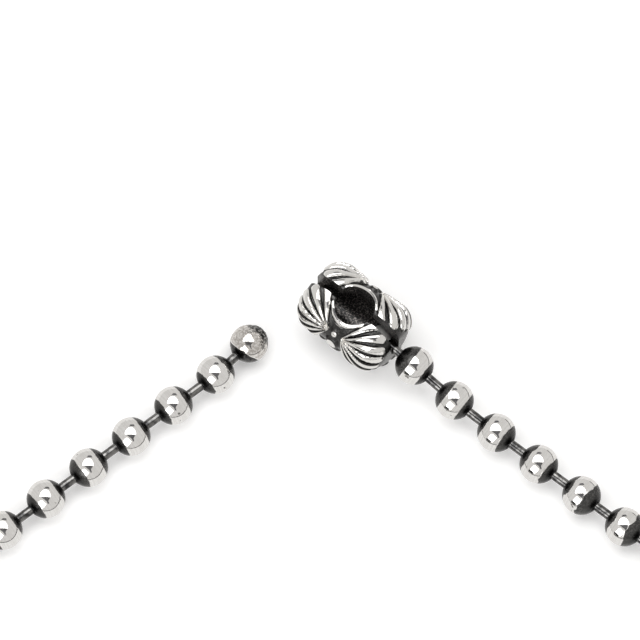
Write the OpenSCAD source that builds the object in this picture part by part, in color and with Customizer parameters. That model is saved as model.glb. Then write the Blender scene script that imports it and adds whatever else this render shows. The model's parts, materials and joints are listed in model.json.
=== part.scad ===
// Ball chain necklace of hollow silver balls, lying open on a table.
// A small ball holds one end inside a cast barrel clasp, and the other ends in a free ball.
// The free ball drops through the clasp's keyhole and slides along its slot to fasten the chain.

/* [Chain] */
// Outside diameter of a chain ball
ball_d = 5; // [4.6:0.1:5.4]
// Wall thickness of a hollow ball
ball_wall = 0.4; // [0.3:0.05:0.6]
// Distance between the middles of two balls when the chain is pulled straight
pitch = 6.85; // [6.5:0.05:7.5]
// Number of balls between the clasp and the free end ball
ball_count = 71; // [41:1:91]

/* [Links] */
// Diameter of a link's rod
rod_d = 1.2; // [0.9:0.05:1.4]
// Clearance between the rod and the hole of a ball, all round
hole_gap = 0.15; // [0.12:0.01:0.2]
// How far a link's head reaches over the edge of its hole, all round
head_catch = 0.2; // [0.15:0.05:0.3]
// Clearance between a link's head and the ball that it pulls on
head_gap = 0.12; // [0.1:0.01:0.2]

/* [End ball] */
// How far the free end ball is pushed onto its link
end_push = 0.8; // [0:0.1:1]
// Diameter of the solder button that closes the end ball
button_d = 2.8; // [2:0.1:3.4]
// Height of the solder button above the ball
button_h = 0.14; // [0.08:0.02:0.3]

/* [Anchor ball] */
// Diameter of the small ball that stays inside the clasp
anchor_d = 3; // [2.8:0.1:3.2]
// Wall thickness of the small ball
anchor_wall = 0.3; // [0.25:0.05:0.35]

/* [Clasp] */
// Length of the clasp over its two domed ends
clasp_l = 13.6; // [13:0.1:15]
// Diameter of the barrel's ground, below the raised relief
clasp_d = 9; // [8.4:0.1:9.6]
// Radius that rounds the barrel's ends
clasp_edge_r = 2.6; // [2:0.1:3.2]
// Thickness of the end wall that holds a ball in
end_wall = 0.95; // [0.8:0.05:1.3]
// Clearance of the keyhole round a ball, all round
keyhole_gap = 0.15; // [0.1:0.05:0.3]
// Clearance of the slot on each side of a rod
slot_gap = 0.125; // [0.1:0.005:0.2]
// Depth of the slot's round bottom below the bore's axis
slot_low = 0.3; // [0.2:0.05:0.5]
// Clearance of a ball in its seat at the end of the bore
seat_gap = 0.12; // [0.1:0.01:0.2]
// Step between a seat and the wider middle of the bore
bore_step = 0.1; // [0.05:0.01:0.2]

/* [Relief] */
// Height of the fans above the ground
fan_h = 0.7; // [0.4:0.02:0.8]
// Length of a fan from its hinge to its lip
fan_l = 6.5; // [5:0.1:7]
// Half of the angle that a fan opens to
fan_half = 64; // [50:1:66]
// Number of ribs in a fan
fan_ribs = 7; // [5:1:9]
// Depth of the grooves between ribs
groove_h = 0.46; // [0.2:0.02:0.6]
// Distance of a fan's hinge from the middle of the clasp
hinge_x = 0.95; // [0.7:0.05:1.5]
// Width of the collar round the keyhole
collar_w = 0.5; // [0.3:0.05:0.8]
// Height of the collar above the ground
collar_h = 0.4; // [0.2:0.05:0.6]
// Diameter of the large grains between the fans
grain_d = 2.3; // [1.6:0.1:2.6]
// Height of the large grains
grain_h = 0.55; // [0.3:0.05:0.7]

/* [Layout] */
// Angle by which each strand falls away from the line across its two ends
fall = 38; // [34:1:42]
// Distance along the right strand from the strands' meeting point to the middle of the clasp
clasp_along = 5.9; // [5:0.1:9]
// How far the middle of the clasp lies outside the right strand's line
clasp_out = 0.5; // [0.3:0.1:0.8]
// Angle between the clasp and the strand that it runs into
clasp_turn = 1.7; // [1:0.1:3]
// Distance along the left strand from the strands' meeting point to the end ball
end_along = 10.5; // [9:0.1:14]
// How far the end ball lies outside the left strand's line
end_out = 0.7; // [0:0.1:1]

/* [Hidden] */
// Heights of the first balls, as shares of the clasp's axis height above a resting ball,
// from the ball inside the clasp to the first that lies on the table
RISE = [1, 0.77, 0.28, 0.04, 0];

ball_r = ball_d / 2;
inner_r = ball_r - ball_wall;
hole_r = rod_d / 2 + hole_gap;
head_r = hole_r + head_catch;
anchor_r = anchor_d / 2;
anchor_inner_r = anchor_r - anchor_wall;

// Distance along a ball's axis from its middle to the edge of its hole, on a sphere of radius r
function hole_edge(r) = sqrt(r * r - hole_r * hole_r);
// Distance from a ball's middle to its hole, half way through the wall
hole_x = (hole_edge(ball_r) + hole_edge(inner_r)) / 2;
anchor_hole_x = (hole_edge(anchor_r) + hole_edge(anchor_inner_r)) / 2;
// Distance from a ball's middle to the middle of a head that pulls on it
head_x = hole_edge(inner_r) - hole_edge(head_r + head_gap);
anchor_head_x = hole_edge(anchor_inner_r) - hole_edge(head_r + head_gap);
link_l = pitch - 2 * head_x;

clasp_r = clasp_d / 2;
seat_r = ball_r + seat_gap;
seat_x = clasp_l / 2 - end_wall - seat_r;
anchor_x = seat_x + seat_r - seat_gap - anchor_r;
bore_r = seat_r + bore_step;
slot_w = rod_d + 2 * slot_gap;
keyhole_r = ball_r + keyhole_gap;
// Room past a surface for a cut that goes right through it
past = 2;

// The barrel's relief is one skin over rings of points: rings along it, and points round each ring
SKIN_RINGS = 52;
SKIN_POINTS = 108;
FAN_COLUMNS = 3;
column = 360 / FAN_COLUMNS;

// Number of sides on the round parts
$fn = 48;

// The barrel's ground, as distance along its outline from the middle of the clasp

end_face = clasp_r - clasp_edge_r;
edge_arc = clasp_edge_r * PI / 2;
straight = clasp_l / 2 - clasp_edge_r;
outline_l = straight + edge_arc + end_face;

// Angle of the surface's normal away from upright, at distance a from the middle
function lean(a) = a < straight ? 0 : a < straight + edge_arc ? (a - straight) / clasp_edge_r * 180 / PI : 90;
// Ground point [x, radius] at distance a from the middle
function ground(a) =
    a < straight ? [a, clasp_r]
    : a < straight + edge_arc ? [straight, end_face] + clasp_edge_r * [sin(lean(a)), cos(lean(a))]
    : [clasp_l / 2, clasp_r - clasp_edge_r - (a - straight - edge_arc)];

// The relief's height above the ground

function ease(t) = let (c = max(0, min(1, t))) c * c * (3 - 2 * c);
function dome(h, r, d) = h * sqrt(max(0, 1 - d * d / (r * r)));

// A fan with its hinge at [hinge_x, 0] that opens along the barrel
function fan(a, w) =
    let (
        from_hinge = norm([a - hinge_x, w]),
        angle = atan2(w, a - hinge_x),
        side = min(2, abs(angle) / fan_half),
        rib = (angle / (2 * fan_half) + 0.5) * fan_ribs,
        across = 2 * (rib - floor(rib)) - 1,
        lip = fan_l * (1 - 0.1 * across * across - 0.1 * side * side),
        reach = from_hinge / lip,
        swell = 0.4 + 0.6 * sin(180 * min(1, pow(reach, 0.9))),
        groove = groove_h * across * across * ease(reach / 0.3)
    )
    max(0, fan_h * swell * (1 - 0.15 * side * side) - groove)
        * ease((1.03 - reach) / 0.1) * ease((1.05 - side) / 0.12);

// Height at distance a from the middle and angle turn from the top
function relief(a, turn) =
    let (
        off = turn % column,
        w = (off - column / 2) * PI / 180 * clasp_r,
        gap_w = min(off, column - off) * PI / 180 * clasp_r,
        g = ground(a),
        from_keyhole = cos(turn) > 0 ? norm([g.x, g.y * sin(turn)]) : clasp_l,
        large = dome(grain_h, grain_d / 2, norm([a, gap_w])),
        medium = dome(0.9 * grain_h, 0.48 * grain_d, norm([a, abs(w) - 0.9 * grain_d])),
        small = dome(0.7 * grain_h, 0.26 * grain_d, norm([a - 0.85 * grain_d, gap_w])),
        knob = dome(0.85 * grain_h, 0.28 * grain_d, norm([a, w])),
        collar = collar_h * ease((keyhole_r + collar_w - from_keyhole) / 0.15)
    )
    max(from_keyhole < keyhole_r + collar_w ? 0 : max(fan(a, w), large, medium, small, knob), collar);

// Point of the skin at signed distance s along the barrel and angle turn from the top
function skin_point(s, turn) =
    let (a = abs(s), g = ground(a), h = relief(a, turn), r = g.y + h * cos(lean(a)))
    [sign(s) * (g.x + h * sin(lean(a))), r * sin(turn), r * cos(turn)];

skin = concat(
    [[-clasp_l / 2, 0, 0]],
    [for (i = [1 : SKIN_RINGS - 1], j = [0 : SKIN_POINTS - 1])
        skin_point(outline_l * (2 * i / SKIN_RINGS - 1), 360 * (j + 0.5) / SKIN_POINTS)],
    [[clasp_l / 2, 0, 0]]
);
function skin_index(i, j) = 1 + (i - 1) * SKIN_POINTS + j % SKIN_POINTS;
last_point = len(skin) - 1;
// Each patch of four points is split along the diagonal that follows the ribs of the fan there
function slants_up(i, j) = (i >= SKIN_RINGS / 2) == (360 * (j + 1) / SKIN_POINTS % column >= column / 2);
function patch(a, b, c, d, up) = up ? [[a, d, c], [a, c, b]] : [[a, d, b], [b, d, c]];
skin_faces = concat(
    [for (j = [0 : SKIN_POINTS - 1]) [0, skin_index(1, j), skin_index(1, j + 1)]],
    [for (i = [1 : SKIN_RINGS - 2], j = [0 : SKIN_POINTS - 1])
        each patch(skin_index(i, j), skin_index(i, j + 1), skin_index(i + 1, j + 1), skin_index(i + 1, j),
            slants_up(i, j))],
    [for (j = [0 : SKIN_POINTS - 1])
        [last_point, skin_index(SKIN_RINGS - 1, j + 1), skin_index(SKIN_RINGS - 1, j)]]
);
// The clasp lies on its relief, so its axis is as high as the relief reaches down
axis_z = -min([for (p = skin) p.z]);

// The chain's route, seen from above, starts at the middle of the clasp.
// It runs into the right strand, goes round one arc and comes back up the left strand.

half_open = 90 - fall;
lead_l = clasp_out / sin(clasp_turn);
strand_start = clasp_along + clasp_out / tan(clasp_turn);
last_along = end_along + sqrt(pow(pitch - end_push, 2) - end_out * end_out);
arc_angle = 180 + 2 * half_open;

function rise(i) = i < len(RISE) ? RISE[i] * (axis_z - ball_r) : 0;
function reach(i) = i == 0 ? anchor_head_x + link_l + head_x : pitch;
function step(i) = sqrt(pow(reach(i), 2) - pow(rise(i) - rise(i + 1), 2));
// Distances of the balls along the route, from the small ball in the clasp to the last before the end ball
first_steps = [for (i = 0, s = anchor_x; i < len(RISE); s = s + step(i), i = i + 1) s];
function ball_s(i) = i < len(RISE) ? first_steps[i] : first_steps[len(RISE) - 1] + (i - len(RISE) + 1) * pitch;

route_l = ball_s(ball_count);
arc_r = (route_l - lead_l + strand_start + last_along) / (2 / tan(half_open) + arc_angle * PI / 180);
tangent_l = arc_r / tan(half_open);
arc_y = -arc_r / sin(half_open);
right_end = lead_l + tangent_l - strand_start;
arc_end = right_end + arc_r * arc_angle * PI / 180;

right = [cos(fall), -sin(fall)];
right_out = [sin(fall), cos(fall)];
left = [-cos(fall), -sin(fall)];
left_out = [-sin(fall), cos(fall)];

function plan(s) =
    s < lead_l ? clasp_along * right + clasp_out * right_out
        + s * [cos(fall + clasp_turn), -sin(fall + clasp_turn)]
    : s < right_end ? (s - lead_l + strand_start) * right
    : s < arc_end ? let (turned = 90 - fall - (s - right_end) / arc_r * 180 / PI)
        [arc_r * cos(turned), arc_y + arc_r * sin(turned)]
    : (tangent_l - (s - arc_end)) * left;

plan_points = [for (i = [0 : ball_count]) plan(ball_s(i))];
end_plan = end_along * left + end_out * left_out;
clasp_plan = plan(0);
clasp_dir = [cos(fall + clasp_turn), -sin(fall + clasp_turn), 0];
// The box's middle: the chain reaches farthest left, right and down, the clasp farthest up
xs = [for (p = plan_points) p.x];
ys = [for (p = plan_points) p.y];
top_y = clasp_plan.y + max([for (p = skin) clasp_dir.y * p.x + clasp_dir.x * p.y]);
middle = [(max(xs) + min(xs)) / 2, (top_y + min(ys) - ball_r) / 2];

// Middles of all the balls: the small ball in the clasp, the chain's, and the end ball
balls = concat(
    [for (i = [0 : ball_count]) [each (plan_points[i] - middle), ball_r + rise(i)]],
    [[each (end_plan - middle), ball_r]]
);
last = len(balls) - 1;

function unit(v) = v / norm(v);
// Direction of a ball's axis, along the chain: the first and last balls follow their one link
function ball_dir(i) = unit(balls[min(i + 1, last)] - balls[max(i - 1, 0)]);

// Places its children at a point, with their X axis along a direction
module place(at, dir) {
    translate(at)
        rotate([0, -asin(dir.z), atan2(dir.y, dir.x)])
            children();
}

// Turns the right half of the flat outline that its children give into a solid round the X axis
module turned() {
    rotate([0, 90, 0])
        rotate_extrude()
            difference() {
                children();
                translate([-2 * ball_d, -2 * ball_d])
                    square([2 * ball_d, 4 * ball_d]);
            }
}

// Hollow ball round the X axis, from the outline that its children give.
// It has a hole at its +X end, and one at its other end too where it is open through.
module hollow_ball(inner, through) {
    turned()
        difference() {
            children();
            circle(inner);
            translate([-ball_d, through ? -ball_d : 0])
                square([ball_d + hole_r, 2 * ball_d]);
        }
}

// Dumbbell from one head's middle to the other's, along X from the origin
module dumbbell(length) {
    turned() {
        square([rod_d / 2, length]);
        for (y = [0, length])
            translate([0, y])
                circle(head_r);
    }
}

// Link between a ball and the next, whose rod runs through the middles of their facing holes.
// It pulls on the first of the two.
module link_after(i) {
    hole = i == 0 ? anchor_hole_x : hole_x;
    from = balls[i] + hole * ball_dir(i);
    dir = unit(balls[i + 1] - hole_x * ball_dir(i + 1) - from);
    place(from - (hole - (i == 0 ? anchor_head_x : head_x)) * dir, dir)
        dumbbell(link_l);
}

// Cast barrel with its raised skin, keyhole, slot and bore
module clasp() {
    color("silver")
        place([each (clasp_plan - middle), axis_z], clasp_dir)
            difference() {
                polyhedron(points = skin, faces = skin_faces, convexity = 6);
                cylinder(r = keyhole_r, h = clasp_r + past);
                // slot over the whole top, with a round bottom where a rod leaves through the end wall
                translate([0, 0, -slot_low])
                    rotate([90, 0, 90])
                        linear_extrude(height = clasp_l + past, center = true) {
                            circle(d = slot_w);
                            translate([-slot_w / 2, 0])
                                square([slot_w, clasp_r + past]);
                        }
                // bore with a round seat for a ball at each end
                rotate([0, 90, 0])
                    cylinder(r = bore_r, h = 2 * seat_x, center = true);
                for (side = [-1, 1])
                    translate([side * seat_x, 0, 0])
                        sphere(seat_r);
            }
}

module chain_beads() {
    color("gainsboro")
        for (i = [1 : ball_count])
            place(balls[i], ball_dir(i))
                hollow_ball(inner_r, true)
                    circle(ball_r);
}

module chain_links() {
    color("dimgray")
        for (i = [0 : last - 1])
            link_after(i);
}

// Free end ball, open towards its link and closed on its far side with a button of solder
module end_bead() {
    button_r = button_d / 2;
    // circle through the button's edge on the ball and through its top
    sag = ball_r + button_h - sqrt(ball_r * ball_r - button_r * button_r);
    button_curve = (sag * sag + button_r * button_r) / (2 * sag);
    color("lightgray")
        place(balls[last], -ball_dir(last))
            hollow_ball(inner_r, false) {
                circle(ball_r);
                translate([0, button_curve - ball_r - button_h])
                    circle(button_curve);
            }
}

// Small ball inside the clasp, open towards the chain's first link
module anchor_bead() {
    color("gray")
        place(balls[0], ball_dir(0))
            hollow_ball(anchor_inner_r, false)
                circle(anchor_r);
}

clasp();
chain_beads();
chain_links();
end_bead();
anchor_bead();
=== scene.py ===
# %% [markdown]
# A ball chain necklace lies open on a white table.
# Its chain is made of hollow silver balls, polished round the middle and blackened at both poles.
# Dumbbell links join them, and a cast barrel clasp holds one end.
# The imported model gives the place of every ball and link, so this lesson only has to make them look real.

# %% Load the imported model
import json
import math
import random

import bmesh
import bpy
from mathutils import Matrix, Vector, noise


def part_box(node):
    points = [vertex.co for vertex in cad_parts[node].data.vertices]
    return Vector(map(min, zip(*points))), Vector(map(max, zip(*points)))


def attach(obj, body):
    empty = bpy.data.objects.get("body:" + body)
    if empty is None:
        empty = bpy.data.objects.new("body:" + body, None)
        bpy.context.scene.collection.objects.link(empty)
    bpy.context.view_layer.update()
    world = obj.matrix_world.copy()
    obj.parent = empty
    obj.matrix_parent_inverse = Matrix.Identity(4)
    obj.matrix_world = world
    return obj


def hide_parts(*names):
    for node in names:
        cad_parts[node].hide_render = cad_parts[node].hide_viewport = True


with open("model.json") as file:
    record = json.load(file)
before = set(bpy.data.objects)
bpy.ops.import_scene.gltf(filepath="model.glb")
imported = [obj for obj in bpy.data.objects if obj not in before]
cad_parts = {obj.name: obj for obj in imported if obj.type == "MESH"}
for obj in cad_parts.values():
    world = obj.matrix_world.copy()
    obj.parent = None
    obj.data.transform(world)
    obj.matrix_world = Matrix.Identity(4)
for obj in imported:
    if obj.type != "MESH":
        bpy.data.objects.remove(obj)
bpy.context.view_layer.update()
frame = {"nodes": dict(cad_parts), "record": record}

MM = 0.001
MERGE = MM / 1000
print("nodes:", sorted(frame["nodes"]))

# %% [markdown]
# The photographer looks down on the two ends of the chain from far away, with a long lens.
# A long lens keeps every ball round and all of them the same size.
# The camera is therefore placed by an angle, a distance and the point that it looks at.

# %% Camera
LOOK_AT = Vector((0.5, 85.69, 2.5)) * MM
LOOK_DOWN = math.radians(70)
LOOK_FROM = 600 * MM
FRAME_W = 83.15 * MM

to_camera = Vector((0, -math.cos(LOOK_DOWN), math.sin(LOOK_DOWN)))
camera_up = Vector((0, math.sin(LOOK_DOWN), math.cos(LOOK_DOWN)))
camera_data = bpy.data.cameras.new("camera")
camera_data.lens = camera_data.sensor_width * LOOK_FROM / FRAME_W
camera_data.clip_start = 0.01
camera = bpy.data.objects.new("camera", camera_data)
bpy.context.scene.collection.objects.link(camera)
camera.location = LOOK_AT + to_camera * LOOK_FROM
camera.rotation_euler = (math.pi / 2 - LOOK_DOWN, 0, 0)
bpy.context.scene.camera = camera
bpy.context.scene.view_settings.view_transform = "Standard"
print("lens", round(camera_data.lens), "mm")

# %% [markdown]
# Materials are written as formulas.
# A Signal is the output of a shader node, and Python's own operators add the Math nodes.
# A Recipe is the node tree of one material, and its one method makes any other node.

# %% Shader formulas
class Signal:
    """The output of a shader node, which Python's operators can work with."""

    def __init__(self, recipe, socket):
        self.recipe = recipe
        self.socket = socket

    def maths(self, operation, first, second):
        return self.recipe.node("Math", {"operation": operation}, {0: first, 1: second})

    def __add__(self, other):
        return self.maths("ADD", self, other)

    def __sub__(self, other):
        return self.maths("SUBTRACT", self, other)

    def __rsub__(self, other):
        return self.maths("SUBTRACT", other, self)

    def __mul__(self, other):
        return self.maths("MULTIPLY", self, other)

    __radd__ = __add__
    __rmul__ = __mul__


class Recipe:
    """The node tree of one material."""

    def __init__(self, name):
        self.material = bpy.data.materials.new(name)
        self.material.use_nodes = True
        self.tree = self.material.node_tree
        self.tree.nodes.clear()

    def node(self, kind, settings=None, sockets=None, out=0):
        """Makes a node: its settings first, then a value or a Signal for each of its sockets."""
        made = self.tree.nodes.new("ShaderNode" + kind)
        for key, value in (settings or {}).items():
            if key == "stops":
                self.set_stops(made.color_ramp, value)
            else:
                setattr(made, key, value)
        for key, value in (sockets or {}).items():
            if isinstance(value, Signal):
                self.tree.links.new(value.socket, made.inputs[key])
            else:
                made.inputs[key].default_value = value
        return Signal(self, made.outputs[out])

    def set_stops(self, ramp, stops):
        while len(ramp.elements) < len(stops):
            ramp.elements.new(1)
        for element, (place, colour) in zip(ramp.elements, stops):
            element.position = place
            element.color = colour

    def attribute(self, name):
        return self.node("Attribute", {"attribute_name": name}, out=2)

    def grain(self, size_mm, detail=2, roughness=0.5):
        """Noise from 0 to 1 whose lumps are about size_mm wide, fixed to the piece."""
        place = self.node("TexCoord", out=3)
        sockets = {"Vector": place, "Scale": 1 / (size_mm * MM), "Detail": detail, "Roughness": roughness}
        return self.node("TexNoise", {}, sockets)

    def step(self, value, low, high):
        """0 below low, 1 above high, and a smooth rise between."""
        settings = {"interpolation_type": "SMOOTHSTEP"}
        return self.node("MapRange", settings, {"Value": value, "From Min": low, "From Max": high})

    def mix(self, share, first, second):
        """The first colour, turning into the second as share goes from 0 to 1."""
        return self.node("Mix", {"data_type": "RGBA"}, {0: share, 6: first, 7: second}, out=2)

    def bump(self, height, depth_mm):
        return self.node("Bump", {}, {"Height": height, "Distance": depth_mm * MM, "Strength": 1.0})

    def finish(self, shader):
        output = self.tree.nodes.new("ShaderNodeOutputMaterial")
        self.tree.links.new(shader.socket, output.inputs["Surface"])
        print("material", self.material.name, "with", len(self.tree.nodes), "nodes")
        return self.material

    def metal(self, **sockets):
        """A metal surface, with the names of the shader's sockets written with underscores."""
        values = {key.replace("_", " ").title(): value for key, value in sockets.items()}
        return self.finish(self.node("BsdfPrincipled", {}, {"Metallic": 1.0, **values}))

# %% [markdown]
# Every piece is first a bmesh, which bmesh operators build and shape.
# One function turns a finished bmesh into an object that rides on the part, so no step is missed.
# Only the clasp takes the same steps one by one, because it is cut after it has become an object.

# %% From a bmesh to a piece
def new_object(name, bm, material):
    mesh = bpy.data.meshes.new(name)
    bm.to_mesh(mesh)
    bm.free()
    mesh.materials.append(material)
    made = bpy.data.objects.new(name, mesh)
    bpy.context.scene.collection.objects.link(made)
    return made


def triangles_in(made):
    return sum(len(face.vertices) - 2 for face in made.data.polygons)


def new_piece(name, bm, material, slot, *nodes):
    for face in bm.faces:
        face.smooth = True
    made = new_object(name, bm, material)
    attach(made, "root")
    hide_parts(*nodes)
    print(name, "has", triangles_in(made), "triangles")

# %% [markdown]
# Polished metal has hardly any colour of its own and shows the room around it.
# So the room is built first: a light grey tent, which is the world's own even light, and a white table.
# The table gives off a little light of its own, as lit acrylic does, so the shadows on it stay faint.

# %% Tent and table
TENT_LIGHT = (0.66, 0.65, 0.635, 1)
TABLE_WHITE = (0.9, 0.9, 0.9, 1)
TABLE_R = 900 * MM
TABLE_TURNS = 96
TABLE_LIGHT = 0.22


def matt(name, colour, light=0.0):
    recipe = Recipe(name)
    sockets = {"Base Color": colour, "Roughness": 0.9, "Emission Color": colour, "Emission Strength": light}
    return recipe.finish(recipe.node("BsdfPrincipled", {}, sockets))


def glowing(name, colour, strength=1.0):
    recipe = Recipe(name)
    return recipe.finish(recipe.node("Emission", {}, {"Color": colour, "Strength": strength}))


world = bpy.data.worlds.new("tent")
world.use_nodes = True
world.node_tree.nodes["Background"].inputs["Color"].default_value = TENT_LIGHT
bpy.context.scene.world = world

bm = bmesh.new()
bmesh.ops.create_circle(bm, cap_ends=True, segments=TABLE_TURNS, radius=TABLE_R)
table = new_object("table", bm, matt("white_table", TABLE_WHITE, TABLE_LIGHT))

# %% [markdown]
# On the balls the table shows as a lighter rim, and a thin dark line parts it from the tent.
# That line is the gap behind the table's edge, and the tent closes the gap at the back and left.
# The balls mirror a lowered table of their own, because its size sets where the line falls on each ball.
# The line is a low dark wall round that table, standing in for the shade in that gap, and a plane cuts it off
# where the gap is closed.

# %% Table seen in the balls
MIRRORED_WHITE = (0.82, 0.81, 0.795, 1)
MIRRORED_R = 520 * MM
MIRRORED_LOW = 60 * MM
MIRRORED_NEAR = 110 * MM
# Black of the wall that stands in for the shade in the gap behind the table's edge
LINE_BLACK = (0.02, 0.02, 0.02, 1)
LINE_H = 42 * MM
BACK_LEFT = Vector((-0.7, 0.7, 0))
CLOSED_FROM = 0.3 * MIRRORED_R


def only_mirrored(made):
    made.visible_camera = False
    made.visible_diffuse = False
    made.visible_shadow = False


table.visible_glossy = False
middle = Matrix.Translation((0, LOOK_AT.y - MIRRORED_NEAR, -MIRRORED_LOW))
bm = bmesh.new()
bmesh.ops.create_circle(bm, cap_ends=True, segments=TABLE_TURNS, radius=MIRRORED_R, matrix=middle)
only_mirrored(new_object("mirrored_table", bm, glowing("mirrored_white", MIRRORED_WHITE)))
bm = bmesh.new()
raised = middle @ Matrix.Translation((0, 0, LINE_H / 2))
bmesh.ops.create_cone(
    bm, cap_ends=False, segments=TABLE_TURNS, radius1=MIRRORED_R, radius2=MIRRORED_R, depth=LINE_H,
    matrix=raised,
)
closed_at = middle @ (BACK_LEFT * CLOSED_FROM)
parts = bm.verts[:] + bm.edges[:] + bm.faces[:]
bmesh.ops.bisect_plane(bm, geom=parts, plane_co=closed_at, plane_no=BACK_LEFT, clear_outer=True)
only_mirrored(new_object("dark_line", bm, matt("dark_line", LINE_BLACK)))
print("mirrored table at", MIRRORED_LOW, "m below the chain")

# %% [markdown]
# The softboxes, and the dark camera between them, show on every ball in the photograph.
# A mirror ball is a map of its room: a spot on the ball shows what lies in exactly one direction.
# So each card is drawn as it looks on a ball, in shares of the ball's radius.
# Then it is placed in the direction that the ball shows there.

# %% Cards seen in the balls
SOFTBOX_FROM = 550 * MM
CAMERA_FROM = 0.9 * SOFTBOX_FROM
STAND_FROM = 0.8 * SOFTBOX_FROM
SOFTBOX_LIGHT = 1.9
ARC_STEPS = 16


def mirrored(across, up):
    """Direction that a ball shows at a spot, given right of and above its middle, in radii."""
    towards = math.sqrt(1 - across * across - up * up)
    right = Vector((1, 0, 0))
    normal = across * right + up * camera_up + towards * to_camera
    return 2 * normal.dot(to_camera) * normal - to_camera


def card(name, spots, material, distance=SOFTBOX_FROM):
    bm = bmesh.new()
    for across, up in spots:
        bm.verts.new(LOOK_AT + mirrored(across, up) * distance)
    bmesh.ops.contextual_create(bm, geom=bm.verts)
    bmesh.ops.triangulate(bm, faces=bm.faces)
    made = new_object(name, bm, material)
    made.visible_camera = False


def arc(middle, radii, start, end, steps):
    turns = [math.radians(start + (end - start) * i / steps) for i in range(steps + 1)]
    return [(middle[0] + radii[0] * math.cos(t), middle[1] + radii[1] * math.sin(t)) for t in turns]


softbox = matt("softbox", (1, 1, 1, 1), SOFTBOX_LIGHT)
black_card = matt("black_card", (0.02, 0.02, 0.02, 1))
grey_card = matt("grey_card", (0.11, 0.11, 0.115, 1))
softbox_above = arc((-0.04, 0.10), (0.28, 0.38), 0, 180, ARC_STEPS)
softbox_left = [(-0.29, -0.08), (-0.19, -0.07), (0.01, -0.26), (-0.20, -0.49), (-0.46, -0.33)]
camera_body = [(-0.25, 0.09), (0.22, 0.08), (0.11, -0.09), (0.15, -0.25), (0.085, -0.26), (0.01, -0.11)]
stand_behind = [(-0.12, 0.52), (0.17, 0.52), (0.12, 0.63), (-0.06, 0.63)]
stand_left = [(-0.53, -0.36), (-0.465, -0.275), (-0.35, -0.355), (-0.235, -0.44), (-0.29, -0.53)]
card("softbox_above", softbox_above, softbox)
card("softbox_left", softbox_left, softbox)
card("camera_body", camera_body, grey_card, CAMERA_FROM)
card("stand_behind", stand_behind, grey_card)
card("stand_left", stand_left, black_card, STAND_FROM)
print("softboxes at", SOFTBOX_FROM, "m, and a stand as near as", round(STAND_FROM, 2), "m")

# %% [markdown]
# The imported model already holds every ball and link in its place.
# Copying their places by hand would only add mistakes, so they are read from its mesh.
# A ball is symmetric, so the middle of its box is its own middle.
# Its axis points from one neighbour to the other.

# %% Where the balls are
def separate_solids(node):
    """The corners of each separate solid of a CAD node."""
    bm = bmesh.new()
    bm.from_mesh(frame["nodes"][node].data)
    bmesh.ops.remove_doubles(bm, verts=bm.verts, dist=MERGE)
    waiting = set(bm.verts)
    solids = []
    while waiting:
        solid = [waiting.pop()]
        for corner in solid:
            near = {edge.other_vert(corner) for edge in corner.link_edges} & waiting
            waiting -= near
            solid.extend(near)
        solids.append([corner.co.copy() for corner in solid])
    bm.free()
    return solids


def box_middle(corners):
    return Vector((min(axis) + max(axis)) / 2 for axis in zip(*corners))


def in_line(start, places):
    """The places in the order of a walk that always goes on to the nearest one."""
    waiting = list(places)
    line = []
    while waiting:
        start = min(waiting, key=lambda place: (place - start).length)
        waiting.remove(start)
        line.append(start)
    return line


anchor_place = box_middle(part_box("anchor_bead"))
end_place = box_middle(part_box("end_bead"))
ball_places = in_line(anchor_place, [box_middle(solid) for solid in separate_solids("chain_beads")])
chain = [anchor_place, *ball_places, end_place]
last = len(chain) - 1
axes = [(chain[min(i + 1, last)] - chain[max(i - 1, 0)]).normalized() for i in range(len(chain))]


def placed(place, axis, turn=0.0):
    """Matrix that turns a piece round Z, points its Z along an axis and moves it to its place."""
    pointing = axis.to_track_quat("Z", "Y").to_matrix().to_4x4()
    return Matrix.Translation(place) @ pointing @ Matrix.Rotation(turn, 4, "Z")


print(len(ball_places), "balls, the first at", [round(x / MM, 2) for x in ball_places[0]], "mm")

# %% [markdown]
# A chain ball is a thin sphere with a hole at each pole, where the edge is rolled in a little.
# It starts as a UV sphere, because its rings run round the poles just as the real polish does.
# Two planes cut the poles off, solidify gives the wall, and a bevel rolls the edges of the holes.

# %% Hollow ball
BALL_R = 2.5 * MM
BALL_WALL = 0.4 * MM
HOLE_R = 0.75 * MM
HOLE_EDGE_R = 0.16 * MM
BALL_TURNS = 48
BALL_RINGS = 28


def hollow_ball(radius, wall, ends, finer=1):
    """Hollow sphere with a hole at the given ends of its Z axis: 1 is the top and -1 the bottom."""
    bm = bmesh.new()
    bmesh.ops.create_uvsphere(
        bm, u_segments=finer * BALL_TURNS, v_segments=finer * BALL_RINGS, radius=radius
    )
    hole_z = math.sqrt(radius * radius - HOLE_R * HOLE_R)
    for end in ends:
        parts = bm.verts[:] + bm.edges[:] + bm.faces[:]
        plane = Vector((0, 0, end))
        bmesh.ops.bisect_plane(bm, geom=parts, plane_co=plane * hole_z, plane_no=plane, clear_outer=True)
    rims = [edge for edge in bm.edges if edge.is_boundary]
    bmesh.ops.solidify(bm, geom=bm.faces[:], thickness=wall)
    bmesh.ops.bevel(
        bm, geom=rims, offset=HOLE_EDGE_R, segments=3, profile=0.5, affect="EDGES", material=-1
    )
    return bm


bm = hollow_ball(BALL_R, BALL_WALL, (1, -1))
ball_mesh = bpy.data.meshes.new("one_ball")
bm.to_mesh(ball_mesh)
radii = sorted({round(corner.co.length / MM, 2) for corner in bm.verts})
print("one ball has", len(bm.faces), "faces and radii from", radii[0], "to", radii[-1], "mm")
print("one ball's wall has a volume of", round(bm.calc_volume(signed=True) / MM**3, 1), "cubic mm")
bm.free()
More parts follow.
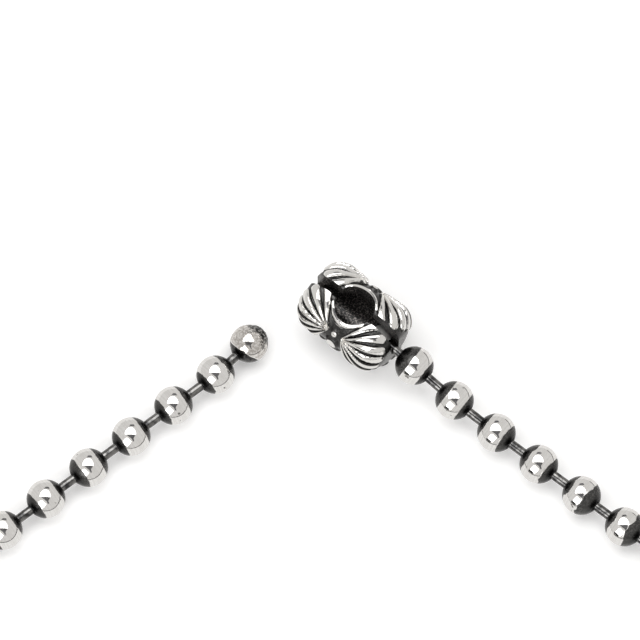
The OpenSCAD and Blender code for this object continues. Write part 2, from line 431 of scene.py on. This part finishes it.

# %% [markdown]
# Each ball was blackened all over, and then polished on a wheel while the chain was held straight.
# The wheel reached a belt round the middle of the ball and left a dark cap at each pole.
# The caps differ a little from ball to ball, so every corner stores how far it lies inside its cap.
# The shader can then draw a sharp edge there, finer than the mesh.
# The wheel also leaves faint rings round the belt and a low ridge where it stopped, just outside the cap.
# Each cap is also painted darker towards its pole, as painted shade where the link's rod goes in.

# %% Silver with dark caps
POLISHED = (0.95, 0.94, 0.925, 1)
BRUSHED = (0.865, 0.85, 0.83, 1)
IN_A_PIT = (0.3, 0.29, 0.28, 1)
BLACKENED = (0.075, 0.074, 0.073, 1)
RUBBED_BLACK = (0.16, 0.157, 0.153, 1)
# Near-black painted shade for each cap next to its pole, where the link's rod goes in
POLE_SHADE_BLACK = (0.02, 0.02, 0.021, 1)
RINGS = 14.0


def silver_with_caps():
    recipe = Recipe("silver_with_caps")
    inside_cap = recipe.attribute("inside_cap")
    to_pole = recipe.attribute("to_pole")
    waves = recipe.grain(1.3, detail=2)
    specks = recipe.grain(0.25, detail=3)
    fine = recipe.grain(0.07, detail=3)
    edge = inside_cap + recipe.attribute("raggedness") * (waves - 0.5) + 0.05 * (specks - 0.5)
    dark = recipe.step(edge, -0.01, 0.014)
    ridge = recipe.step(edge, -0.05, -0.03) - dark
    rings = recipe.node(
        "TexNoise", {"noise_dimensions": "1D"}, {"W": to_pole, "Scale": RINGS, "Detail": 3.0}
    )
    pit = recipe.step(recipe.grain(0.55, detail=0), 0.8, 0.84)
    # Painted shade: the blackened cap turns near-black towards its pole, where the rod goes in
    pole_shade = recipe.step(to_pole + 0.5 * (specks - 0.5), 0.6, 0.98)
    worn = recipe.mix(recipe.step(specks, 0.4, 0.75), BLACKENED, RUBBED_BLACK)
    cap = recipe.mix(pole_shade, worn, POLE_SHADE_BLACK)
    streaks = recipe.step(0.35 * specks + 0.65 * rings, 0.38, 0.64)
    belt = recipe.mix(streaks, POLISHED, BRUSHED)
    pitted = recipe.mix(pit, belt, IN_A_PIT)
    return recipe.metal(
        base_color=recipe.mix(dark, pitted, cap),
        roughness=0.05 + 0.04 * fine + dark * (0.12 + 0.16 * specks),
        normal=recipe.bump(dark * (0.5 * fine - 1.0) + 0.7 * ridge + 0.15 * specks - 0.6 * pit, 0.012),
    )


ball_silver = silver_with_caps()

# %% [markdown]
# One ball mesh is copied to every place along the chain, turned by chance about its own axis.
# The caps of the balls nearest the two ends are listed one by one, because they show best in the photograph.
# Each of them has where its two caps start, in radii from the middle, and how wavy their edges are.
# The hollow inside of a ball counts as deep in a cap and at its pole, so it comes out black, under the same
# painted shade.

# %% Chain balls
CAP_RIGHT = 0.53
CAP_LEFT = 0.63
CAP_SPREAD = 0.035
CAP_LEAN = 0.05
CAP_WAVES = 0.16
OUTSIDE = 0.95
DEEP_IN_CAP = 0.5
CAPS_SEEN = {
    1: (0.26, 0.62, 0.1),
    2: (0.48, 0.55, 0.06),
    3: (0.60, 0.53, 0.12),
    4: (0.50, 0.57, 0.25),
    5: (0.58, 0.30, 0.4),
    6: (0.53, 0.36, 0.35),
    last - 5: (0.60, 0.61, 0.12),
    last - 4: (0.48, 0.55, 0.12),
    last - 3: (0.63, 0.58, 0.12),
    last - 2: (0.62, 0.49, 0.1),
    last - 1: (0.65, 0.53, 0.28),
}
PIECES = {"balls_right": (1, 24), "balls_far": (25, 47), "balls_left": (48, last - 1)}
chance = random.Random(5)


def mark_caps(bm, corners, start_cap, end_cap, waves, lean):
    """Stores how far each corner of a ball round Z lies inside its cap, in radii, and how near its pole."""
    inside_cap = bm.verts.layers.float["inside_cap"]
    to_pole = bm.verts.layers.float["to_pole"]
    for corner in corners:
        share = corner.co / BALL_R
        height = share.z + lean.dot(share)
        corner[inside_cap] = abs(height) - (end_cap if height > 0 else start_cap)
        corner[to_pole] = abs(share.z)
        corner[bm.verts.layers.float["raggedness"]] = waves
        if share.length < OUTSIDE:
            corner[inside_cap] = DEEP_IN_CAP
            corner[to_pole] = 1.0


def chain_balls(name, first, final):
    bm = bmesh.new()
    for layer in ("inside_cap", "to_pole", "raggedness"):
        bm.verts.layers.float.new(layer)
    for i in range(first, final + 1):
        before = len(bm.verts)
        bm.from_mesh(ball_mesh)
        bm.verts.ensure_lookup_table()
        corners = bm.verts[before:]
        usual = CAP_RIGHT if i < last / 2 else CAP_LEFT
        start_cap, end_cap = [usual + chance.uniform(-CAP_SPREAD, CAP_SPREAD) for _ in range(2)]
        start_cap, end_cap, waves = CAPS_SEEN.get(i, (start_cap, end_cap, CAP_WAVES))
        lean = Vector((chance.uniform(-CAP_LEAN, CAP_LEAN), chance.uniform(-CAP_LEAN, CAP_LEAN), 0))
        mark_caps(bm, corners, start_cap, end_cap, waves, lean)
        turn = chance.uniform(0, 2 * math.pi)
        bmesh.ops.transform(bm, matrix=placed(chain[i], axes[i], turn), verts=corners)
    new_piece(name, bm, ball_silver, "ball_silver", "chain_beads")


for name, (first, final) in PIECES.items():
    chain_balls(name, first, final)

# %% [markdown]
# The links are dumbbells: a rod with a round head at each end, which cannot slip back through its hole.
# Each one is symmetric, so the middle of its box is its own middle, and it points from ball to ball.
# A few vertices draw half of its outline, and a spin turns that round its axis.

# %% Links
ROD_R = 0.6 * MM
HEAD_R = 0.95 * MM
ROD_TURNS = 24
ROD_BLACK = (0.055, 0.055, 0.056, 1)
ROD_RUBBED = (0.245, 0.241, 0.235, 1)


def dark_silver():
    recipe = Recipe("darkened_silver")
    patches = recipe.grain(0.7)
    fine = recipe.grain(0.09, detail=3)
    worn = recipe.step(patches, 0.35, 0.65)
    return recipe.metal(
        base_color=recipe.mix(worn, ROD_BLACK, ROD_RUBBED),
        roughness=0.06 + 0.07 * fine,
        normal=recipe.bump(fine, 0.004),
    )


def turned(bm, corners, axis, steps, merge):
    """Joins the corners of an outline and turns it round an axis into a closed skin, as a lathe does."""
    edges = [bm.edges.new(pair) for pair in zip(corners, corners[1:])]
    bmesh.ops.spin(
        bm, geom=corners + edges, cent=(0, 0, 0), axis=axis, angle=2 * math.pi, steps=steps,
        use_merge=True, use_normal_flip=False,
    )
    bmesh.ops.remove_doubles(bm, verts=bm.verts, dist=merge)
    bmesh.ops.recalc_face_normals(bm, faces=bm.faces)


def dumbbell(length):
    """Outline of a rod with two heads, turned round Z with its middle at the origin."""
    bm = bmesh.new()
    head = arc((0, length / 2), (HEAD_R, HEAD_R), 90, -50, 6)
    upper = head + [(ROD_R, length / 4), (ROD_R, 0)]
    outline = upper + [(x, -z) for x, z in reversed(upper[:-1])]
    turned(bm, [bm.verts.new((x, 0, z)) for x, z in outline], (0, 0, 1), ROD_TURNS, MERGE)
    mesh = bpy.data.meshes.new("one_link")
    bm.to_mesh(mesh)
    bm.free()
    return mesh


rod_silver = dark_silver()
link_solids = separate_solids("chain_links")
link_places = in_line(anchor_place, [box_middle(solid) for solid in link_solids])
link_l = 2 * max((corner - box_middle(link_solids[0])).length for corner in link_solids[0]) - 2 * HEAD_R
link_mesh = dumbbell(link_l)
bm = bmesh.new()
for i, place in enumerate(link_places):
    before = len(bm.verts)
    bm.from_mesh(link_mesh)
    bm.verts.ensure_lookup_table()
    axis = (chain[i + 1] - chain[i]).normalized()
    bmesh.ops.transform(bm, matrix=placed(place, axis), verts=bm.verts[before:])
new_piece("links", bm, rod_silver, "dark_silver", "chain_links")
print("links are", round(link_l / MM, 2), "mm long between the middles of their heads")

# %% [markdown]
# The free end ball is closed by a button of solder on its far side, and was rounded off by hand.
# So it is less even than the others: noise moves its corners in and out by a few hundredths of a millimetre.
# The button is a low dome over the closed pole, left dark, lumpy and pitted from the torch.

# %% End ball
BUTTON_R = 1.4 * MM
BUTTON_H = 0.14 * MM
BUTTON_UNEVEN = 0.8
BUTTON_LUMPS = 6
LUMP_H = 0.034 * MM
LUMPS = 2.2
SMALL_LUMPS = 5
OTHER_LUMPS = Vector((3, 1, 2))
END_CAP = 0.44
END_CAP_LEAN = Vector((0.15, -0.48, 0))
SMOKED = (0.03, 0.03, 0.031, 1)
RUBBED_SMOKE = (0.12, 0.118, 0.115, 1)
BURNT = (0.03, 0.03, 0.029, 1)
BURNT_BARE = (0.45, 0.435, 0.42, 1)
WARM_LIGHT = (0.86, 0.835, 0.805, 1)
WARM_DARK = (0.56, 0.53, 0.5, 1)
RIDGE_LIGHT = (0.93, 0.915, 0.89, 1)


def solder_finish():
    recipe = Recipe("hand_finished_silver")
    inside_cap = recipe.attribute("inside_cap")
    on_button = recipe.attribute("to_pole")
    waves = recipe.grain(0.9, detail=2)
    pits = recipe.grain(0.34, detail=3)
    fine = recipe.grain(0.06, detail=2)
    edge = inside_cap + 0.12 * (waves - 0.5) + 0.03 * (fine - 0.5)
    cap = recipe.step(edge, -0.01, 0.012)
    ridge = recipe.step(edge, -0.07, -0.03) - cap
    button = recipe.step(on_button + 0.5 * (waves - 0.5) + 0.4 * (pits - 0.5), 0.17, 0.25)
    burnt = recipe.mix(recipe.step(pits, 0.5, 0.64), BURNT, BURNT_BARE)
    smoked = recipe.mix(recipe.step(pits, 0.4, 0.7), SMOKED, RUBBED_SMOKE)
    warm = recipe.mix(recipe.step(pits, 0.36, 0.64), WARM_LIGHT, WARM_DARK)
    polished = recipe.mix(ridge, warm, RIDGE_LIGHT)
    return recipe.metal(
        base_color=recipe.mix(cap, recipe.mix(button, polished, burnt), smoked),
        roughness=0.06 + 0.05 * fine + 0.14 * cap + 0.25 * button,
        normal=recipe.bump(waves * 0.26 + pits * 0.1 + button * pits * 1.4 - cap * 0.2, 0.05),
    )


bm = hollow_ball(BALL_R, BALL_WALL, (1,), finer=2)
inside_cap = bm.verts.layers.float.new("inside_cap")
to_pole = bm.verts.layers.float.new("to_pole")
for corner in bm.verts:
    share = corner.co / BALL_R
    height = share.z + END_CAP_LEAN.dot(share)
    from_pole = math.hypot(corner.co.x, corner.co.y) / BUTTON_R
    if share.length > OUTSIDE:
        lump = noise.noise(share * LUMPS) + 0.5 * noise.noise(share * SMALL_LUMPS + OTHER_LUMPS)
        button = math.sqrt(max(0, 1 - from_pole * from_pole)) if share.z < 0 else 0
        button *= 1 + BUTTON_UNEVEN * noise.noise(share * BUTTON_LUMPS)
        corner.co *= 1 + (LUMP_H * (lump - 0.7) + BUTTON_H * button) / BALL_R
        corner[inside_cap] = height - END_CAP
        corner[to_pole] = 1 - 0.5 * from_pole if share.z < 0 else 0
    else:
        corner[inside_cap] = DEEP_IN_CAP
bmesh.ops.transform(bm, matrix=placed(chain[last], -axes[last]), verts=bm.verts)
new_piece("end_ball", bm, solder_finish(), "ball_silver", "end_bead")

# %% [markdown]
# A small ball holds the chain's other end inside the clasp, where only a little of it shows.
# No wheel reaches it there, so it is left dull and grey.

# %% Small ball in the clasp
ANCHOR_R = 1.5 * MM
ANCHOR_WALL = 0.3 * MM
SMOKED_DARK = (0.5, 0.495, 0.49, 1)
SMOKED_LIGHT = (0.7, 0.69, 0.68, 1)


def smoked_silver():
    recipe = Recipe("smoked_silver")
    patches = recipe.grain(0.8)
    fine = recipe.grain(0.08, detail=2)
    return recipe.metal(
        base_color=recipe.mix(patches, SMOKED_DARK, SMOKED_LIGHT),
        roughness=0.7 + 0.15 * fine,
        normal=recipe.bump(fine, 0.01),
    )


bm = hollow_ball(ANCHOR_R, ANCHOR_WALL, (1,))
bmesh.ops.transform(bm, matrix=placed(chain[0], axes[0]), verts=bm.verts)
new_piece("small_ball", bm, smoked_silver(), "dark_silver", "anchor_bead")

# %% [markdown]
# The clasp is cast by the lost-wax way: a barrel whose carved relief is part of the casting.
# The relief is fans of broad round ribs with narrow grooves between them, and small grains between the fans.
# It is written as one height over a flat map of the barrel: distance a along its outline, and turn round it.
# The solid model has the same fans and grains, but the grooves here are narrower and the edges finer.
# Sizes are in millimetres from here on, and the finished barrel is scaled to metres when it is placed.
# SIDE_FROM and SIDE_OVER are the turns at which the relief starts to get darker, and over which it goes on
# getting darker.

# %% Relief of the clasp
CLASP_L = 13.6
CLASP_R = 4.5
CLASP_EDGE_R = 2.6
KEYHOLE_R = 2.65
SLOT_W = 1.45
FAN_H = 0.7
FAN_L = 6.5
FAN_HALF = 64
FAN_RIBS = 7
GROOVE_H = 0.42
HINGE_X = 0.95
COLLAR_W = 0.38
COLLAR_H = 0.4
COLLAR_GROOVE = 0.12
COLLAR_END = 1.2
FLANK_BLACK = 0.27
FADE = 0.16
GRAIN_R = 1.15
GRAIN_H = 0.55
GRAIN_BLACK = 0.78
COLUMN = 120
SIDE_FROM = 45
SIDE_OVER = 60
SIDE_DULL = 0.56
EDGE_R = 0.12
EDGE_DROP = 0.6
STRAIGHT = CLASP_L / 2 - CLASP_EDGE_R
OUTLINE_L = STRAIGHT + CLASP_EDGE_R * math.pi / 2 + CLASP_R - CLASP_EDGE_R


def ground(a):
    """Place and radius of the barrel's outline at distance a from its middle, and how its surface leans."""
    lean = min(max((a - STRAIGHT) / CLASP_EDGE_R, 0), math.pi / 2)
    x = min(a, STRAIGHT) + CLASP_EDGE_R * math.sin(lean)
    on_end_face = max(0, a - STRAIGHT - CLASP_EDGE_R * math.pi / 2)
    return x, CLASP_R - CLASP_EDGE_R * (1 - math.cos(lean)) - on_end_face, lean


def ease(t):
    held = max(0.0, min(1.0, t))
    return held * held * (3 - 2 * held)


def dome(height, radius, distance):
    return height * math.sqrt(max(0.0, 1 - (distance / radius) ** 2))


def fan(a, w, toward_side):
    """Height and blackened share of a fan with its hinge at (HINGE_X, 0), for a place a along and w round."""
    angle = math.degrees(math.atan2(w, a - HINGE_X))
    side = min(abs(angle) / FAN_HALF, 2)
    rib = (angle / (2 * FAN_HALF) + 0.5) * FAN_RIBS
    across = 2 * (rib - math.floor(rib)) - 1
    lip = FAN_L * (1 - 0.1 * across * across - 0.1 * side * side)
    reach = math.hypot(a - HINGE_X, w) / lip
    swell = 0.4 + 0.6 * math.sin(math.pi * min(1, reach**0.9))
    groove_share = 0.36 + 0.12 * math.sin(math.pi * min(1, reach))
    into_groove = abs(across) - 1 + groove_share
    groove = ease(into_groove / FADE) * ease(reach / FADE)
    black = ease((into_groove + FLANK_BLACK * toward_side) / FADE) * ease(reach / FADE)
    inside = ease((1.03 - reach) / 0.08) * ease((1.05 - side) / 0.1)
    body = FAN_H * swell * (1 - 0.15 * side * side) * (1 - 0.25 * across * across)
    return max(0.0, body - GROOVE_H * groove) * inside, black * inside


def relief(a, turn):
    """Height, polished height, blackened share and collar share, at distance a and turn degrees round."""
    off = turn % COLUMN
    w = math.radians(off - COLUMN / 2) * CLASP_R
    between = math.radians(min(off, COLUMN - off)) * CLASP_R
    x, radius, _ = ground(a)
    y = radius * math.sin(math.radians(turn))
    on_top = math.cos(math.radians(turn)) > 0
    from_keyhole = math.hypot(x, y) - KEYHOLE_R if on_top else CLASP_L
    # Darker towards the sides: more black and less polish the further from the top
    toward_side = ease((abs(turn) - SIDE_FROM) / SIDE_OVER)
    fan_height, black = fan(a, w, toward_side)
    large = dome(GRAIN_H, GRAIN_R, math.hypot(a, between))
    medium = dome(0.9 * GRAIN_H, 0.96 * GRAIN_R, math.hypot(a, abs(w) - 1.8 * GRAIN_R))
    small = dome(0.7 * GRAIN_H, 0.52 * GRAIN_R, math.hypot(a - 1.7 * GRAIN_R, between))
    knob = dome(0.85 * GRAIN_H, 0.56 * GRAIN_R, math.hypot(a, w))
    grains = max(large, medium, small, knob)
    if grains > fan_height:
        black = ease((GRAIN_BLACK - grains / GRAIN_H) / 0.2)
    carried = ease((abs(y) - SLOT_W / 2) / COLLAR_END)
    collar = ease((COLLAR_W - from_keyhole) / 0.1) * carried
    cleared = ease((COLLAR_W + COLLAR_GROOVE - from_keyhole) / COLLAR_GROOVE) * carried
    raised_edge = dome(COLLAR_H, COLLAR_W, from_keyhole) * carried
    height = max(raised_edge, (1 - cleared) * max(fan_height, grains))
    worn = min(max(from_keyhole / EDGE_R, 0), 1)
    height -= EDGE_R * EDGE_DROP * (1 - math.sqrt(1 - (1 - worn) ** 2))
    polished = max(height, 0) * (1 - SIDE_DULL * toward_side)
    return height, polished, black * (1 - cleared), collar


print("the outline is", round(2 * OUTLINE_L, 2), "mm long")
print("heights along a fan:", [round(relief(a, 60)[0], 2) for a in (0, 2, 4, 6, 8)])

# %% [markdown]
# The blank is turned as on a lathe: the outline is spun round the barrel's axis.
# Then every corner moves out along the ground's own direction by the height of the relief there.
# The height and the grooves are also stored at the corners, because the shader blackens the low places.
# The further the ribs turn down the clasp's sides, away from its top, the more black and the less bright
# polish they have.
# The wheel only touches the middle of each grain, and so every grain keeps a black rim.

# %% Barrel with its relief
CLASP_ROWS = 256
CLASP_TURNS = 400
MERGE_IN_MM = MERGE / MM

bm = bmesh.new()
along = bm.verts.layers.float.new("along")
row = []
for i in range(CLASP_ROWS + 1):
    distance = OUTLINE_L * (2 * i / CLASP_ROWS - 1)
    x, radius, _ = ground(abs(distance))
    corner = bm.verts.new((math.copysign(x, distance), 0, max(radius, 0)))
    corner[along] = distance
    row.append(corner)
turned(bm, row, (1, 0, 0), CLASP_TURNS, MERGE_IN_MM)
marks = {}
for corner in bm.verts:
    distance = corner[along]
    turn = math.atan2(corner.co.y, corner.co.z)
    height, polished, black, collar = relief(abs(distance), math.degrees(turn))
    x, radius, lean = ground(abs(distance))
    outward = math.cos(lean) * Vector((0, math.sin(turn), math.cos(turn)))
    outward.x = math.copysign(math.sin(lean), distance)
    corner.co += height * outward
    marks[corner] = (polished / FAN_H, black, collar, 1)
colours = bm.loops.layers.float_color.new("relief")
for face in bm.faces:
    for loop in face.loops:
        loop[colours] = marks[loop.vert]
reach = max(corner.co.yz.length for corner in bm.verts)
print("barrel has", len(bm.faces), "faces and reaches", round(reach, 2), "mm from its axis")

# %% [markdown]
# The keyhole, the slot and the bore are cut afterwards, as a jeweller drills and saws the casting.
# So three plain tools are built first: a round one for the keyhole, a bar for the slot, one for the bore.

# %% Tools for the keyhole, the slot and the bore
SLOT_LOW = 0.3
SEAT_R = 2.62
SEAT_X = 3.23
BORE_R = 2.72
PAST = 2
KEYHOLE_TURNS = 120
BORE_TURNS = 96


def round_tool(outline, axis, steps):
    """Turns an outline that starts and ends on an axis into a round cutting tool."""
    bm = bmesh.new()
    turned(bm, [bm.verts.new(point) for point in outline], axis, steps, MERGE_IN_MM)
    return bm


def keyhole_tool():
    deep = CLASP_R + PAST
    outline = [(0, 0, 0), (KEYHOLE_R, 0, 0), (KEYHOLE_R, 0, deep), (0, 0, deep)]
    return round_tool(outline, (0, 0, 1), KEYHOLE_TURNS)


def slot_tool():
    bm = bmesh.new()
    half = SLOT_W / 2
    start = -CLASP_L / 2 - PAST
    bottom = [(y, z - SLOT_LOW) for y, z in arc((0, 0), (half, half), 180, 360, ARC_STEPS)]
    profile = bottom + [(half, CLASP_R + PAST), (-half, CLASP_R + PAST)]
    face = bm.faces.new([bm.verts.new((start, y, z)) for y, z in profile])
    grown = bmesh.ops.extrude_face_region(bm, geom=[face])["geom"]
    far = [item for item in grown if isinstance(item, bmesh.types.BMVert)]
    bmesh.ops.translate(bm, vec=(-2 * start, 0, 0), verts=far)
    bmesh.ops.recalc_face_normals(bm, faces=bm.faces)
    return bm


def bore_tool():
    seat = [(x, 0, z) for x, z in arc((SEAT_X, 0), (SEAT_R, SEAT_R), 90, 0, ARC_STEPS)]
    half = [(SEAT_X, 0, BORE_R)] + seat
    return round_tool([(-x, 0, z) for x, _, z in reversed(half)] + half, (1, 0, 0), BORE_TURNS)


tools = [keyhole_tool(), slot_tool(), bore_tool()]
print("the tools have", [len(tool_bm.faces) for tool_bm in tools], "faces")

# %% [markdown]
# The relief is black in its grooves and between its forms, and bright wherever the wheel could reach.
# The marks at the corners say where that is, and noise makes the edges of the black uneven.
# The inside of the clasp stays blackened, with bare specks where the casting is rough.

# %% Cast silver, outside and inside
RELIEF_POLISHED = (0.94, 0.93, 0.915, 1)
RELIEF_BRUSHED = (0.88, 0.865, 0.84, 1)
OXIDE_BLACK = (0.03, 0.03, 0.031, 1)
OXIDE_GREY = (0.1, 0.098, 0.096, 1)
BORE_BLACK = (0.035, 0.035, 0.035, 1)
BORE_SPECK = (0.28, 0.255, 0.24, 1)


def clasp_silver():
    recipe = Recipe("relief_silver")
    marks = recipe.node("Attribute", {"attribute_name": "relief"}, out=0)
    height, black_share, collar = [
        recipe.node("SeparateColor", {}, {"Color": marks}, out=i) for i in range(3)
    ]
    waves = recipe.grain(1.1, detail=2)
    pits = recipe.grain(0.16, detail=3)
    off_collar = recipe.step(collar, 0.98, 0.8)
    low = recipe.step(height + 0.16 * (waves - 0.5) + 0.08 * (pits - 0.5), 0.22, 0.14) * off_collar
    in_groove = recipe.step(black_share + 0.2 * (waves - 0.5) + 0.12 * (pits - 0.5), 0.42, 0.52)
    oxide = low.maths("MAXIMUM", low, in_groove)
    black = recipe.mix(recipe.step(pits, 0.35, 0.65), OXIDE_BLACK, OXIDE_GREY)
    bright = recipe.mix(waves, RELIEF_POLISHED, RELIEF_BRUSHED)
    return recipe.metal(
        base_color=recipe.mix(oxide, bright, black),
        roughness=0.07 + 0.05 * pits + 0.14 * oxide,
        normal=recipe.bump(waves * 0.15 + pits * (0.04 + 0.4 * oxide), 0.06),
    )


def bore_silver():
    recipe = Recipe("bore_silver")
    waves = recipe.grain(0.8, detail=2)
    pits = recipe.grain(0.2, detail=3)
    speck = recipe.step(pits, 0.5, 0.64)
    return recipe.metal(
        base_color=recipe.mix(speck, BORE_BLACK, BORE_SPECK),
        metallic=0.5,
        roughness=0.12 + 0.15 * pits,
        normal=recipe.bump(waves * 0.6 + pits * 0.5, 0.07),
    )


clasp_inside = bore_silver()
clasp = new_object("clasp_barrel", bm, clasp_silver())
clasp.data.materials.append(clasp_inside)

# %% [markdown]
# Each tool is taken away from the barrel with an exact Boolean.
# A tool's faces carry the second material, and they leave it on the walls that they cut.

# %% Keyhole, slot and bore
def cut(solid, tool_bm, inside):
    """Takes a tool's shape away from a solid, whose mesh then holds the result."""
    for face in tool_bm.faces:
        face.material_index = 1
    tool = new_object("tool", tool_bm, inside)
    modifier = solid.modifiers.new("cut", "BOOLEAN")
    modifier.object = tool
    modifier.solver = "EXACT"
    seen = solid.evaluated_get(bpy.context.evaluated_depsgraph_get())
    solid.data = bpy.data.meshes.new_from_object(seen)
    solid.modifiers.clear()
    bpy.data.objects.remove(tool)


for tool_bm in tools:
    cut(clasp, tool_bm, clasp_inside)
    print("clasp has", len(clasp.data.polygons), "faces after a cut")

# %% [markdown]
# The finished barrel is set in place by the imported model's own facts.
# The keyhole's mount gives the middle of the clasp.
# The small ball gives its height and the way its axis points.

# %% Clasp in its place
KEYHOLE_NAME = "keyhole"
EDGE_ANGLE = math.radians(45)

keyhole = next(mount for mount in frame["record"]["mounts"] if mount["name"] == KEYHOLE_NAME)
clasp_middle = Vector((keyhole["pos_m"][0], keyhole["pos_m"][1], anchor_place.z))
clasp_axis = (anchor_place - clasp_middle).normalized()
side = Vector((0, 0, 1)).cross(clasp_axis)
pointing = Matrix((clasp_axis, side, Vector((0, 0, 1)))).transposed().to_4x4()
clasp.data.transform(Matrix.Translation(clasp_middle) @ pointing @ Matrix.Scale(MM, 4))
clasp.data.set_sharp_from_angle(angle=EDGE_ANGLE)
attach(clasp, "root")
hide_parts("clasp")
print("clasp has", triangles_in(clasp), "triangles")
print("the clasp's middle is at", [round(x / MM, 2) for x in clasp_middle], "mm")
